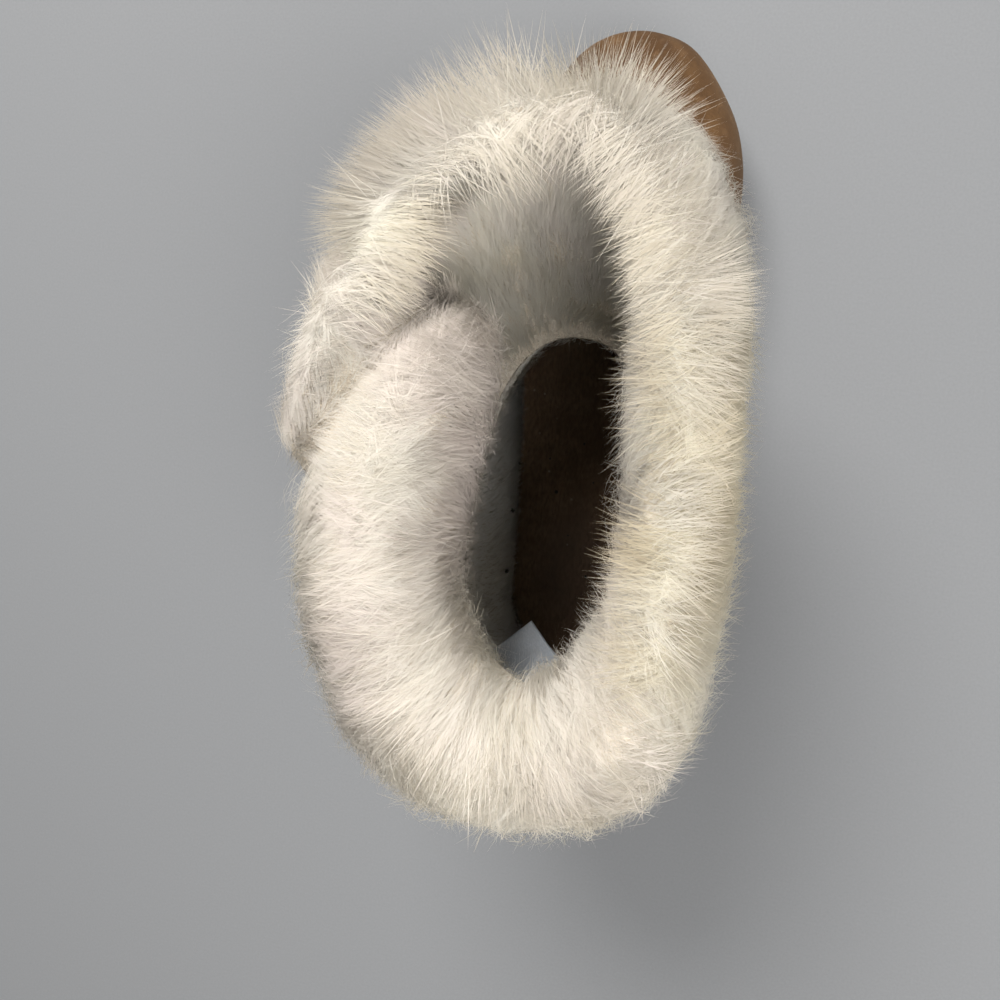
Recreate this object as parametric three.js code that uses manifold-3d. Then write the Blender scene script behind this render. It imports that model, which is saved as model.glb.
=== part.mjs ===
import * as THREE from 'three';
import Module from 'manifold-3d';

const wasm = await Module();
wasm.setup();

// Main sizes of the boot in millimetres: +Y to the toe, +X to the inner side of a left foot, +Z up
const bootLength = 263.5;
const heelRadius = 39;
const ballWidth = 92;
const suedeThickness = 3;
const lastingMargin = 8.6;
const pieceGap = 0.3;
const insoleThickness = 4.5;
const ankleHalfWidth = 36;
const ankleSquareness = 2.25;
const pointsAround = 80;

// How closely the points lie around the boot: nearer together by the little toe, where the shaft folds
const closestAround = 0.6;
const closeness = 0.45;

// Fur shaft: how far the fur stands off the suede at the seam, and how its top is rounded
const furOverSeam = 17;
const furDrop = 3;
const outerShoulder = 34;
const innerShoulder = 32;
const crestPoints = 9;
const facePoints = 4;

// Outsole tread
const lugGrooveWidth = 5;
const lugGrooveDepth = 2.5;
const lugPitch = 14;

// Care label
const labelWidth = 18;
const labelLength = 23;
const labelThickness = 0.6;

// Outline of the sole: along is the share of the length from the heel, across is the share of half the
// ball width, positive on the inner side
const outlinePlaces = [
  { place: 'heel back', along: 0, across: 0 },
  { place: 'heel curve, inner', along: 0.022, across: 0.39 },
  { place: 'heel, inner', along: 0.095, across: 0.665 },
  { place: 'heel breast, inner', along: 0.2, across: 0.7 },
  { place: 'arch', along: 0.34, across: 0.61 },
  { place: 'waist, inner', along: 0.45, across: 0.63 },
  { place: 'behind ball, inner', along: 0.58, across: 0.8 },
  { place: 'ball, inner', along: 0.71, across: 0.98 },
  { place: 'big toe joint', along: 0.79, across: 1 },
  { place: 'big toe', along: 0.87, across: 0.905 },
  { place: 'toe curve, inner', along: 0.935, across: 0.69 },
  { place: 'toe front, inner', along: 0.983, across: 0.4 },
  { place: 'toe tip', along: 1, across: 0 },
  { place: 'toe front, outer', along: 0.982, across: -0.38 },
  { place: 'toe curve, outer', along: 0.93, across: -0.66 },
  { place: 'little toe', along: 0.855, across: -0.875 },
  { place: 'ball, outer', along: 0.73, across: -1 },
  { place: 'behind ball, outer', along: 0.6, across: -0.965 },
  { place: 'waist, outer', along: 0.45, across: -0.83 },
  { place: 'heel breast, outer', along: 0.25, across: -0.735 },
  { place: 'heel, outer', along: 0.1, across: -0.675 },
  { place: 'heel curve, outer', along: 0.022, across: -0.39 }
];

// Side view of the outsole: heights of its tread and of its seat for the upper
const soleHeights = [
  { place: 'heel back', along: 0, tread: 1.6, seat: 22.5 },
  { place: 'heel', along: 0.045, tread: 0, seat: 22.3 },
  { place: 'heel breast', along: 0.25, tread: 0, seat: 21 },
  { place: 'arch', along: 0.37, tread: 5, seat: 18.4 },
  { place: 'waist', along: 0.47, tread: 3, seat: 16 },
  { place: 'tread start', along: 0.54, tread: 0, seat: 14.6 },
  { place: 'ball', along: 0.72, tread: 0, seat: 13.4 },
  { place: 'tread end', along: 0.775, tread: 0, seat: 13.8 },
  { place: 'toe', along: 0.9, tread: 3.8, seat: 17.2 },
  { place: 'toe tip', along: 1, tread: 10, seat: 22.8 }
];

// Sections of the lasted upper from the sole to the ankle seam: where each meets the heel line and the
// instep line, its girth against the sole outline, how much it follows the seat, how oval it has become
const upperSections = [
  { place: 'feather edge', backY: -38.1, backZ: 22.8, frontY: 223.6, frontZ: 23.1, girth: 0.98, seat: 1, oval: 0 },
  { place: 'above sole', backY: -40, backZ: 27, frontY: 226, frontZ: 28.5, girth: 1.015, seat: 1, oval: 0 },
  { place: 'toe wall', backY: -41.5, backZ: 33, frontY: 226.8, frontZ: 35.5, girth: 1.03, seat: 0.9, oval: 0 },
  { place: 'toe cap', backY: -42.2, backZ: 39, frontY: 223, frontZ: 43, girth: 1.02, seat: 0.75, oval: 0 },
  { place: 'toe top', backY: -42.2, backZ: 46, frontY: 214, frontZ: 49.5, girth: 0.985, seat: 0.6, oval: 0 },
  { place: 'toe crown', backY: -41.8, backZ: 52, frontY: 200, frontZ: 54, girth: 0.94, seat: 0.5, oval: 0.03 },
  { place: 'low vamp', backY: -41, backZ: 58, frontY: 182, frontZ: 58.5, girth: 0.89, seat: 0.35, oval: 0.1 },
  { place: 'vamp', backY: -40, backZ: 64, frontY: 163, frontZ: 63.5, girth: 0.84, seat: 0.2, oval: 0.25 },
  { place: 'high vamp', backY: -39.2, backZ: 70, frontY: 146, frontZ: 69, girth: 0.8, seat: 0.1, oval: 0.45 },
  { place: 'instep', backY: -38.6, backZ: 77, frontY: 131, frontZ: 75, girth: 0.78, seat: 0, oval: 0.65 },
  { place: 'throat', backY: -38.2, backZ: 84, frontY: 119, frontZ: 81, girth: 0.78, seat: 0, oval: 0.85 },
  { place: 'below seam', backY: -38, backZ: 91, frontY: 110.5, frontZ: 86, girth: 0.78, seat: 0, oval: 1 },
  { place: 'ankle seam', backY: -38, backZ: 100, frontY: 103, frontZ: 91, girth: 0.78, seat: 0, oval: 1 }
];

// Fur shaft at its top, a row for each place around it: at is the share of the way around the ankle seam,
// from the heel by the inner side; outer and inner faces of the fur; height of its crest
const furPlaces = [
  { place: 'heel', at: 0, outerX: 6, outerY: -50, innerX: 8, innerY: 0.5, crest: 197 },
  { place: 'heel, inner', at: 0.03, outerX: 27, outerY: -46, innerX: 13, innerY: 3, crest: 197 },
  { place: 'heel corner, inner', at: 0.06, outerX: 44, outerY: -36.5, innerX: 17.5, innerY: 7.5, crest: 197.5 },
  { place: 'behind ankle, inner', at: 0.1, outerX: 56.5, outerY: -20, innerX: 23, innerY: 16, crest: 198 },
  { place: 'ankle, inner', at: 0.15, outerX: 62.5, outerY: 2, innerX: 27, innerY: 30, crest: 199 },
  { place: 'inner side', at: 0.2, outerX: 64, outerY: 27, innerX: 28.5, innerY: 44, crest: 199 },
  { place: 'middle of inner side', at: 0.25, outerX: 63.5, outerY: 54, innerX: 27, innerY: 60, crest: 199 },
  { place: 'front of inner side', at: 0.3, outerX: 62, outerY: 82, innerX: 26, innerY: 82, crest: 198 },
  { place: 'instep, inner', at: 0.35, outerX: 59.5, outerY: 109, innerX: 25, innerY: 101, crest: 197 },
  { place: 'front corner, inner', at: 0.39, outerX: 54, outerY: 131.5, innerX: 22, innerY: 114, crest: 196 },
  { place: 'front curve, inner', at: 0.425, outerX: 43.5, outerY: 148.5, innerX: 17, innerY: 127, crest: 195 },
  { place: 'front, inner', at: 0.46, outerX: 27.5, outerY: 158, innerX: 12, innerY: 136, crest: 195 },
  { place: 'front', at: 0.5, outerX: 6, outerY: 160.5, innerX: 5, innerY: 140.5, crest: 195 },
  { place: 'front, outer', at: 0.52, outerX: -14.5, outerY: 154.5, innerX: -1, innerY: 140.5, crest: 195.5 },
  { place: 'front curve, outer', at: 0.54, outerX: -32.5, outerY: 142.5, innerX: -9, innerY: 137, crest: 196.5 },
  { place: 'front corner, outer', at: 0.565, outerX: -49.5, outerY: 121.5, innerX: -18, innerY: 131, crest: 198 },
  { place: 'front lobe', at: 0.595, outerX: -63, outerY: 97.5, innerX: -25, innerY: 123.5, crest: 199.5 },
  { place: 'front lobe bulge', at: 0.62, outerX: -70.5, outerY: 76.5, innerX: -28, innerY: 117.5, crest: 200 },
  { place: 'front lobe end', at: 0.642, outerX: -73, outerY: 58.5, innerX: -29, innerY: 112, crest: 199 },
  { place: 'front lobe turn', at: 0.657, outerX: -72, outerY: 47, innerX: -28.5, innerY: 108, crest: 196.5 },
  { place: 'fold', at: 0.67, outerX: -68.5, outerY: 40, innerX: -25.5, innerY: 104.5, crest: 190 },
  { place: 'rear lobe turn', at: 0.684, outerX: -66.5, outerY: 37.5, innerX: -18, innerY: 101.5, crest: 196.5 },
  { place: 'rear lobe end', at: 0.702, outerX: -66, outerY: 34.5, innerX: -10, innerY: 95.5, crest: 199 },
  { place: 'rear lobe', at: 0.73, outerX: -65.5, outerY: 29, innerX: -6, innerY: 83, crest: 200.5 },
  { place: 'rear lobe side', at: 0.77, outerX: -64.5, outerY: 19, innerX: -8, innerY: 67, crest: 200.5 },
  { place: 'outer side', at: 0.82, outerX: -61, outerY: 4.5, innerX: -10.5, innerY: 50.5, crest: 200 },
  { place: 'ankle, outer', at: 0.87, outerX: -54.5, outerY: -11, innerX: -11, innerY: 34.5, crest: 199 },
  { place: 'behind ankle, outer', at: 0.92, outerX: -42.5, outerY: -30, innerX: -7.5, innerY: 18, crest: 198 },
  { place: 'heel corner, outer', at: 0.96, outerX: -20, outerY: -45.5, innerX: 1, innerY: 5.5, crest: 197 }
];

// Value of one column at a place along a table, easing through the rows without running past them
function columnAt(rows, key, column, place) {
  const last = rows.length - 1;
  const slope = (i) => (rows[i + 1][column] - rows[i][column]) / (rows[i + 1][key] - rows[i][key]);
  const tangent = (i) => {
    if (i === 0) return slope(0);
    if (i === last) return slope(last - 1);
    const before = slope(i - 1);
    const after = slope(i);
    return before * after <= 0 ? 0 : (2 * before * after) / (before + after);
  };
  if (place <= rows[0][key]) return rows[0][column];
  if (place >= rows[last][key]) return rows[last][column];
  let i = 0;
  while (rows[i + 1][key] < place) i += 1;
  const span = rows[i + 1][key] - rows[i][key];
  const t = (place - rows[i][key]) / span;
  const start = (1 + 2 * t) * (1 - t) * (1 - t) * rows[i][column] + t * (1 - t) * (1 - t) * span * tangent(i);
  const end = t * t * (3 - 2 * t) * rows[i + 1][column] - t * t * (1 - t) * span * tangent(i + 1);
  return start + end;
}

// Value of one column around a closed table whose first row comes again after one full turn
function columnAround(rows, key, column, place) {
  const count = rows.length;
  const at = (i) => rows[(i + count) % count][key] + Math.floor(i / count);
  const value = (i) => rows[(i + count) % count][column];
  const tangent = (i) => {
    const before = (value(i) - value(i - 1)) / (at(i) - at(i - 1));
    const after = (value(i + 1) - value(i)) / (at(i + 1) - at(i));
    const beforeSpan = at(i) - at(i - 1);
    const afterSpan = at(i + 1) - at(i);
    return (before * afterSpan + after * beforeSpan) / (beforeSpan + afterSpan);
  };
  let i = 0;
  while (at(i + 1) < place) i += 1;
  const span = at(i + 1) - at(i);
  const t = (place - at(i)) / span;
  const start = (1 + 2 * t) * (1 - t) * (1 - t) * value(i) + t * (1 - t) * (1 - t) * span * tangent(i);
  const end = t * t * (3 - 2 * t) * value(i + 1) - t * t * (1 - t) * span * tangent(i + 1);
  return start + end;
}

const lerp = (a, b, t) => a + (b - a) * t;
const alongOf = (y) => (y + heelRadius) / bootLength;
const seatHeight = (y) => columnAt(soleHeights, 'along', 'seat', alongOf(y));
const treadHeight = (y) => columnAt(soleHeights, 'along', 'tread', alongOf(y));

// Sole outline as one smooth closed line, and the same points around it for every piece
const outlineCurve = new THREE.CatmullRomCurve3(
  outlinePlaces.map((p) => new THREE.Vector3(p.across * ballWidth / 2, p.along * bootLength - heelRadius, 0)),
  true,
  'centripetal'
);
outlineCurve.arcLengthDivisions = 2000;

const sharesAround = [];
for (let i = 0; i < pointsAround; i += 1) {
  const t = i / pointsAround;
  const shift = Math.sin(2 * Math.PI * (t - closestAround)) + Math.sin(2 * Math.PI * closestAround);
  sharesAround.push(t - closeness * shift / (2 * Math.PI));
}

const outlinePoints = sharesAround.map((share) => outlineCurve.getPointAt(share));
const outlineNormals = sharesAround.map((share) => {
  const tangent = outlineCurve.getTangentAt(share);
  return new THREE.Vector3(tangent.y, -tangent.x, 0);
});

// Outline moved inward, lifted to a height that depends on where along the boot each point lies
function outlineRing(inset, height) {
  return outlinePoints.map((point, i) => {
    const moved = point.clone().addScaledVector(outlineNormals[i], -inset);
    moved.z = height(moved.y);
    return moved;
  });
}

// One section of the upper: the outline drawn together towards the instep and eased into the ankle oval
function upperRing(section) {
  const seatBack = seatHeight(-heelRadius);
  const seatFront = seatHeight(bootLength - heelRadius);
  return outlinePoints.map((point) => {
    const along = THREE.MathUtils.clamp(alongOf(point.y), 0, 1);
    const y = lerp(section.backY, section.frontY, along);
    const ovalWide = (1 - Math.abs(2 * along - 1) ** ankleSquareness) ** (1 / ankleSquareness);
    const ovalX = Math.sign(point.x) * ankleHalfWidth * ovalWide;
    const x = lerp(point.x * section.girth, ovalX, section.oval);
    const sag = seatHeight(point.y) - lerp(seatBack, seatFront, along);
    return new THREE.Vector3(x, y, lerp(section.backZ, section.frontZ, along) + section.seat * sag);
  });
}

// Stacked rings moved along their own outward normals, keeping the wall even at bends
function movedRings(rings, distance) {
  const around = rings[0].length;
  const faces = rings.map((ring) => ring.map(() => []));
  for (let r = 0; r + 1 < rings.length; r += 1) {
    for (let i = 0; i < around; i += 1) {
      const j = (i + 1) % around;
      const rising = rings[r + 1][j].clone().sub(rings[r][i]);
      const falling = rings[r + 1][i].clone().sub(rings[r][j]);
      const face = rising.cross(falling).normalize();
      faces[r][i].push(face);
      faces[r][j].push(face);
      faces[r + 1][i].push(face);
      faces[r + 1][j].push(face);
    }
  }
  return rings.map((ring, r) => ring.map((point, i) => {
    const normal = new THREE.Vector3();
    faces[r][i].forEach((face) => normal.add(face));
    normal.normalize();
    const meeting = Math.min(...faces[r][i].map((face) => face.dot(normal)));
    return point.clone().addScaledVector(normal, distance / Math.max(meeting, 0.7));
  }));
}

// Strips drawn across a ring from its inner side to its outer side, from heel to toe
function stripsAcross(ring, first, facesUp, indices) {
  const around = ring.length;
  const toe = ring.reduce((best, point, i) => (point.y > ring[best].y ? i : best), 0);
  let right = 0;
  let left = around;
  const add = (a, b, c) => {
    const corners = [a, b, c].map((corner) => first + corner % around);
    if (!facesUp) corners.reverse();
    indices.push(...corners);
  };
  while (right < toe || left > toe) {
    const nextLeft = ring[(left - 1 + around) % around].y;
    const goRight = left === toe || (right < toe && ring[right + 1].y <= nextLeft);
    if (goRight) {
      if (left % around !== right) add(right, right + 1, left);
      right += 1;
    } else {
      add(right, left - 1, left);
      left -= 1;
    }
  }
}

// Closed body from stacked rings that run the same way round; it is closed into a loop or by flat ends
function bodyFromRings(rings, closedLoop) {
  const around = rings[0].length;
  const positions = rings.flat().flatMap((p) => [p.x, p.y, p.z]);
  const indices = [];
  const bands = closedLoop ? rings.length : rings.length - 1;
  for (let r = 0; r < bands; r += 1) {
    const low = r * around;
    const high = ((r + 1) % rings.length) * around;
    for (let i = 0; i < around; i += 1) {
      const j = (i + 1) % around;
      indices.push(low + i, low + j, high + j);
      indices.push(low + i, high + j, high + i);
    }
  }
  if (!closedLoop) {
    stripsAcross(rings[0], 0, false, indices);
    stripsAcross(rings[rings.length - 1], (rings.length - 1) * around, true, indices);
  }
  return { positions, indices };
}

function solidOf(body) {
  const vertProperties = new Float32Array(body.positions);
  const triVerts = new Uint32Array(body.indices);
  return new wasm.Manifold(new wasm.Mesh({ numProp: 3, vertProperties, triVerts }));
}

function bodyOf(solid) {
  const mesh = solid.getMesh();
  return { positions: Array.from(mesh.vertProperties), indices: Array.from(mesh.triVerts) };
}

function namedMesh(name, body, look) {
  const geometry = new THREE.BufferGeometry();
  geometry.setAttribute('position', new THREE.Float32BufferAttribute(body.positions, 3));
  geometry.setIndex(body.indices);
  geometry.computeVertexNormals();
  const mesh = new THREE.Mesh(geometry, new THREE.MeshStandardMaterial(look));
  mesh.name = name;
  return mesh;
}

// Outsole: tread, side wall and seat, with a raised bed that fills the opening left by the lasting margin
const outsoleRings = [
  outlineRing(2.8, treadHeight),
  outlineRing(1, (y) => treadHeight(y) + 2.8),
  outlineRing(0.9, (y) => seatHeight(y) - 1.3),
  outlineRing(1.9, seatHeight),
  outlineRing(lastingMargin + 1.4, seatHeight),
  outlineRing(lastingMargin + 1.6, (y) => seatHeight(y) + suedeThickness - 0.4)
];
let outsoleSolid = solidOf(bodyFromRings(outsoleRings, false));

const grooveRows = [
  { place: 'heel', firstY: -22, count: 4, pitch: lugPitch + 0.6 },
  { place: 'forefoot', firstY: 101, count: 8, pitch: lugPitch }
];
grooveRows.forEach((row) => {
  for (let g = 0; g < row.count; g += 1) {
    const y = row.firstY + g * row.pitch;
    const depth = treadHeight(y) + lugGrooveDepth + 2;
    const groove = wasm.Manifold.cube([ballWidth + 20, lugGrooveWidth, depth], true)
      .translate([0, y, depth / 2 - 2]);
    outsoleSolid = outsoleSolid.subtract(groove);
  }
});

// Upper: lasting margin, feather edge, foot and ankle in one wall
const upperOuter = [
  outlineRing(lastingMargin + 1, (y) => seatHeight(y) + pieceGap),
  ...upperSections.map(upperRing)
];
const upperInner = movedRings(upperOuter, -suedeThickness);
const upperBody = bodyFromRings([...upperOuter, ...upperInner.slice().reverse()], true);

// Insole: a thin bed lying on the lasting margin
const insoleBase = suedeThickness + 2 * pieceGap + 0.2;
const insoleBody = bodyFromRings([
  outlineRing(lastingMargin + 1, (y) => seatHeight(y) + insoleBase),
  outlineRing(3.7, (y) => seatHeight(y) + insoleBase),
  outlineRing(3, (y) => seatHeight(y) + insoleBase + insoleThickness - 1.2),
  outlineRing(4.4, (y) => seatHeight(y) + insoleBase + insoleThickness)
], false);

// Fur shaft: for every point around the ankle seam one line over the fur, from the suede outside, up over
// the crest and down to the seam inside
const seamRow = upperOuter.length - 1;
const suedeClear = movedRings(upperOuter, pieceGap);

function easedLine(start, bend, end, count) {
  const line = [];
  for (let k = 1; k <= count; k += 1) {
    const t = k / (count + 1);
    const point = start.clone().multiplyScalar((1 - t) * (1 - t));
    line.push(point.addScaledVector(bend, 2 * t * (1 - t)).addScaledVector(end, t * t));
  }
  return line;
}

function furLine(i) {
  const column = (name) => columnAround(furPlaces, 'at', name, sharesAround[i]);
  const crest = column('crest');
  const outerTop = new THREE.Vector3(column('outerX'), column('outerY'), crest - outerShoulder);
  const innerTop = new THREE.Vector3(column('innerX'), column('innerY'), crest - innerShoulder);
  const hugLow = suedeClear[seamRow - 1][i];
  const hugHigh = suedeClear[seamRow][i].clone();
  hugHigh.z += pieceGap;
  const rimInner = upperInner[seamRow][i].clone();
  rimInner.z += pieceGap;
  const outward = hugLow.clone().sub(upperInner[seamRow - 1][i]).setZ(0).normalize();
  const outerLow = hugLow.clone().addScaledVector(outward, furOverSeam);
  outerLow.z -= furDrop;
  const outerBend = outerTop.clone().lerp(outerLow, 0.2).setZ(lerp(outerLow.z, outerTop.z, 0.42));
  const innerBend = innerTop.clone().lerp(rimInner, 0.55).setZ(lerp(rimInner.z, innerTop.z, 0.5));
  const overCrest = [];
  for (let k = 1; k <= crestPoints; k += 1) {
    const turn = Math.PI * k / (crestPoints + 1);
    const point = outerTop.clone().lerp(innerTop, (1 - Math.cos(turn)) / 2);
    point.z += (crest - point.z) * Math.sin(turn) ** 0.85;
    overCrest.push(point);
  }
  return [
    hugLow,
    outerLow,
    ...easedLine(outerLow, outerBend, outerTop, facePoints),
    outerTop,
    ...overCrest,
    innerTop,
    ...easedLine(innerTop, innerBend, rimInner, facePoints),
    rimInner,
    hugHigh
  ];
}

const furLines = outlinePoints.map((point, i) => furLine(i));
const furRings = furLines[0].map((first, r) => furLines.map((line) => line[r]));
const furBody = bodyFromRings(furRings, true);

// Care label: a satin tab sewn in at the inner heel, standing out into the hollow
const labelPlace = sharesAround.findIndex((share) => share > 0.95);
const labelSeam = upperInner[seamRow - 1][labelPlace];
const labelInward = labelSeam.clone().sub(upperOuter[seamRow - 1][labelPlace]).setZ(0).normalize();
const labelSide = new THREE.Vector3(-labelInward.y, labelInward.x, 0);
const labelFolds = [
  { place: 'seam', out: 2.1, rise: 2 },
  { place: 'crown', out: 2.1 + labelLength * 0.3, rise: 3.4 },
  { place: 'middle', out: 2.1 + labelLength * 0.62, rise: 2.4 },
  { place: 'free edge', out: 2.1 + labelLength * 0.9, rise: -1.5 }
];
const labelRings = [1, -1].map((side) => {
  const edge = (lift) => labelFolds.map((fold) => labelSeam.clone()
    .addScaledVector(labelInward, fold.out)
    .addScaledVector(labelSide, side * labelWidth / 2)
    .add(new THREE.Vector3(0, 0, fold.rise + lift)));
  return [...edge(0), ...edge(labelThickness).reverse()];
});
const labelCount = labelFolds.length * 2;
const labelIndices = [];
for (let i = 0; i < labelCount; i += 1) {
  const j = (i + 1) % labelCount;
  labelIndices.push(i, j, labelCount + j);
  labelIndices.push(i, labelCount + j, labelCount + i);
}
for (let i = 0; i + 1 < labelFolds.length; i += 1) {
  const over = labelCount - 1 - i;
  labelIndices.push(i, over, over - 1);
  labelIndices.push(i, over - 1, i + 1);
  labelIndices.push(labelCount + i, labelCount + over - 1, labelCount + over);
  labelIndices.push(labelCount + i, labelCount + i + 1, labelCount + over - 1);
}
const labelBody = { positions: labelRings.flat().flatMap((p) => [p.x, p.y, p.z]), indices: labelIndices };

const group = new THREE.Group();
group.name = 'fur_boot';
group.add(namedMesh('outsole', bodyOf(outsoleSolid), { color: 0x8a6a4c, roughness: 0.8, metalness: 0 }));
group.add(namedMesh('upper', upperBody, { color: 0xa9743f, roughness: 0.95, metalness: 0 }));
group.add(namedMesh('insole', insoleBody, { color: 0x8a6242, roughness: 0.95, metalness: 0 }));
group.add(namedMesh('fur_shaft', furBody, { color: 0xe9e0d0, roughness: 1, metalness: 0 }));
group.add(namedMesh('care_label', labelBody, { color: 0xe4e8ee, roughness: 0.5, metalness: 0 }));

export default group;
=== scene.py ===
import bpy
import numpy as np
from mathutils import Matrix, Vector
from mathutils.bvhtree import BVHTree


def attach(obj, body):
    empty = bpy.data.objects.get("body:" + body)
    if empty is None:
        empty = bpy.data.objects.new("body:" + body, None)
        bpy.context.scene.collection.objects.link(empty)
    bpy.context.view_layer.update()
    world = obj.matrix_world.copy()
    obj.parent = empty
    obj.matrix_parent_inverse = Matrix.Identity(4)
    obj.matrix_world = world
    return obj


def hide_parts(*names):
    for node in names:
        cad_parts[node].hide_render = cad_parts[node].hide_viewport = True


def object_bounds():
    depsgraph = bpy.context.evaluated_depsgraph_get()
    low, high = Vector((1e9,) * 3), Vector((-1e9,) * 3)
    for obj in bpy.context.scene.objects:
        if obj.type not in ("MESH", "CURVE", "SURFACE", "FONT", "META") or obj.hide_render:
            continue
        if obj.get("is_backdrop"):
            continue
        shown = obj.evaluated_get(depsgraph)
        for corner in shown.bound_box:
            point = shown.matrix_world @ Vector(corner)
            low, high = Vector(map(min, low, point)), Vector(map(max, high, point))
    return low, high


# Left fur boot, seen from above. Metres, +Y to the toe, +X to the inner side, +Z up.
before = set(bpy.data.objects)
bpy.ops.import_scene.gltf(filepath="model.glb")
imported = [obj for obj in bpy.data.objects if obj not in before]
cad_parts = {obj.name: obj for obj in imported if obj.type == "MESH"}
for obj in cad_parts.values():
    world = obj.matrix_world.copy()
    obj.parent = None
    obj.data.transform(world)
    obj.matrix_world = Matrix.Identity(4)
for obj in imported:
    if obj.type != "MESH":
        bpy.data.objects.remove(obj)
cadLow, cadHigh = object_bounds()
mm = 0.001
print("frame loaded:", ", ".join(sorted(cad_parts)))


# Shader maths: a socket that takes part in Python expressions
class Socket:
    def __init__(self, tree, link):
        self.tree = tree
        self.link = link

    def reckon(self, operation, first, second=None):
        node = self.tree.nodes.new("ShaderNodeMath")
        node.operation = operation
        for slot, value in zip(node.inputs, (first, second)):
            if isinstance(value, Socket):
                self.tree.links.new(value.link, slot)
            elif value is not None:
                slot.default_value = value
        return Socket(self.tree, node.outputs[0])

    def __add__(self, other):
        return self.reckon("ADD", self, other)

    def __mul__(self, other):
        return self.reckon("MULTIPLY", self, other)

    def __sub__(self, other):
        return self.reckon("SUBTRACT", self, other)

    def __pow__(self, other):
        return self.reckon("POWER", self, other)

    def clamped(self):
        return self.reckon("MAXIMUM", self.reckon("MINIMUM", self, 1.0), 0.0)

    def root(self):
        return self.reckon("SQRT", self)

    def hump(self, width):
        # bell curve of the value: 1 at nought, falling off over the width
        return self.reckon("EXPONENT", (self * (1 / width)) ** 2.0 * -1.0)


# One material: its nodes are added by type, settings and socket values
class Finish:
    def __init__(self, name):
        self.material = bpy.data.materials.new(name)
        self.material.use_nodes = True
        self.tree = self.material.node_tree
        self.tree.nodes.clear()

    def node(self, kind, settings=None, inputs=None, output=0):
        node = self.tree.nodes.new("ShaderNode" + kind)
        for key, value in (settings or {}).items():
            if key == "stops":
                ramp = node.color_ramp
                while len(ramp.elements) < len(value):
                    ramp.elements.new(0.5)
                for element, (place, colour) in zip(ramp.elements, value):
                    element.position = place
                    element.color = (*colour, 1)
            else:
                setattr(node, key, value)
        for key, value in (inputs or {}).items():
            if isinstance(value, Socket):
                self.tree.links.new(value.link, node.inputs[key])
            elif hasattr(value, "__len__") and len(value) == 3 and node.inputs[key].type == "RGBA":
                node.inputs[key].default_value = (*value, 1)
            else:
                node.inputs[key].default_value = value
        return Socket(self.tree, node.outputs[output])

    def coords(self, scale=(1, 1, 1)):
        place = self.node("TexCoord", output=3)
        return self.node("Mapping", {}, {"Vector": place, "Scale": scale})

    def along(self, axis):
        place = self.node("TexCoord", output=3)
        return self.node("SeparateXYZ", {}, {"Vector": place}, output="XYZ".index(axis))

    def noise(self, vector, scale, detail):
        inputs = {"Vector": vector, "Scale": scale, "Detail": detail, "Roughness": 0.6}
        return self.node("TexNoise", {}, inputs)

    def ramp(self, value, *stops):
        return self.node("ValToRGB", {"stops": stops}, {"Fac": value})

    def level(self, value, low, high, newLow=0.0, newHigh=1.0):
        return self.node("MapRange", {}, {"Value": value, "From Min": low, "From Max": high,
                                          "To Min": newLow, "To Max": newHigh})

    def mixed(self, share, first, second):
        node = self.tree.nodes.new("ShaderNodeMix")
        node.data_type = "RGBA"
        for slot, value in ((0, share), (6, first), (7, second)):
            if isinstance(value, Socket):
                self.tree.links.new(value.link, node.inputs[slot])
            else:
                node.inputs[slot].default_value = value if slot == 0 else (*value, 1)
        return Socket(self.tree, node.outputs[2])

    def bump(self, height, strength, distance):
        return self.node("Bump", {}, {"Height": height, "Strength": strength, "Distance": distance})

    def coat(self, colour, roughness, shine, relief=None, more=None):
        inputs = {"Base Color": colour, "Roughness": roughness, "Specular IOR Level": shine, **(more or {})}
        if relief is not None:
            inputs["Normal"] = relief
        return self.node("BsdfPrincipled", {}, inputs)

    def show(self, shader):
        out = self.tree.nodes.new("ShaderNodeOutputMaterial")
        self.tree.links.new(shader.link, out.inputs["Surface"])
        return self.material


# Smooth lines through tables
def closedCurve(rows, perSpan=40):
    # centripetal spline through the rows and back to the first, perSpan points from each row to the next
    p = np.asarray(rows, float)
    p0, p1, p2, p3 = (np.roll(p, k, axis=0) for k in (1, 0, -1, -2))
    d = [np.sqrt(np.linalg.norm(b - a, axis=1))[:, None] for a, b in ((p0, p1), (p1, p2), (p2, p3))]
    t1 = ((p1 - p0) / d[0] - (p2 - p0) / (d[0] + d[1]) + (p2 - p1) / d[1]) * d[1]
    t2 = ((p2 - p1) / d[1] - (p3 - p1) / (d[1] + d[2]) + (p3 - p2) / d[2]) * d[1]
    t = (np.arange(perSpan) / perSpan)[None, :, None]
    h00, h10 = 2 * t**3 - 3 * t**2 + 1, t**3 - 2 * t**2 + t
    h01, h11 = 3 * t**2 - 2 * t**3, t**3 - t**2
    line = h00 * p1[:, None] + h10 * t1[:, None] + h01 * p2[:, None] + h11 * t2[:, None]
    return line.reshape(-1, p.shape[1])


def evenly(line):
    # makes a closed line a function of the share of its length, 0 to 1
    loop = np.vstack([line, line[:1]])
    run = np.concatenate([[0], np.cumsum(np.linalg.norm(np.diff(loop, axis=0), axis=1))])

    def pointAt(share):
        way = np.mod(share, 1) * run[-1]
        return np.stack([np.interp(way, run, column) for column in loop.T], -1)

    return pointAt


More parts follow.
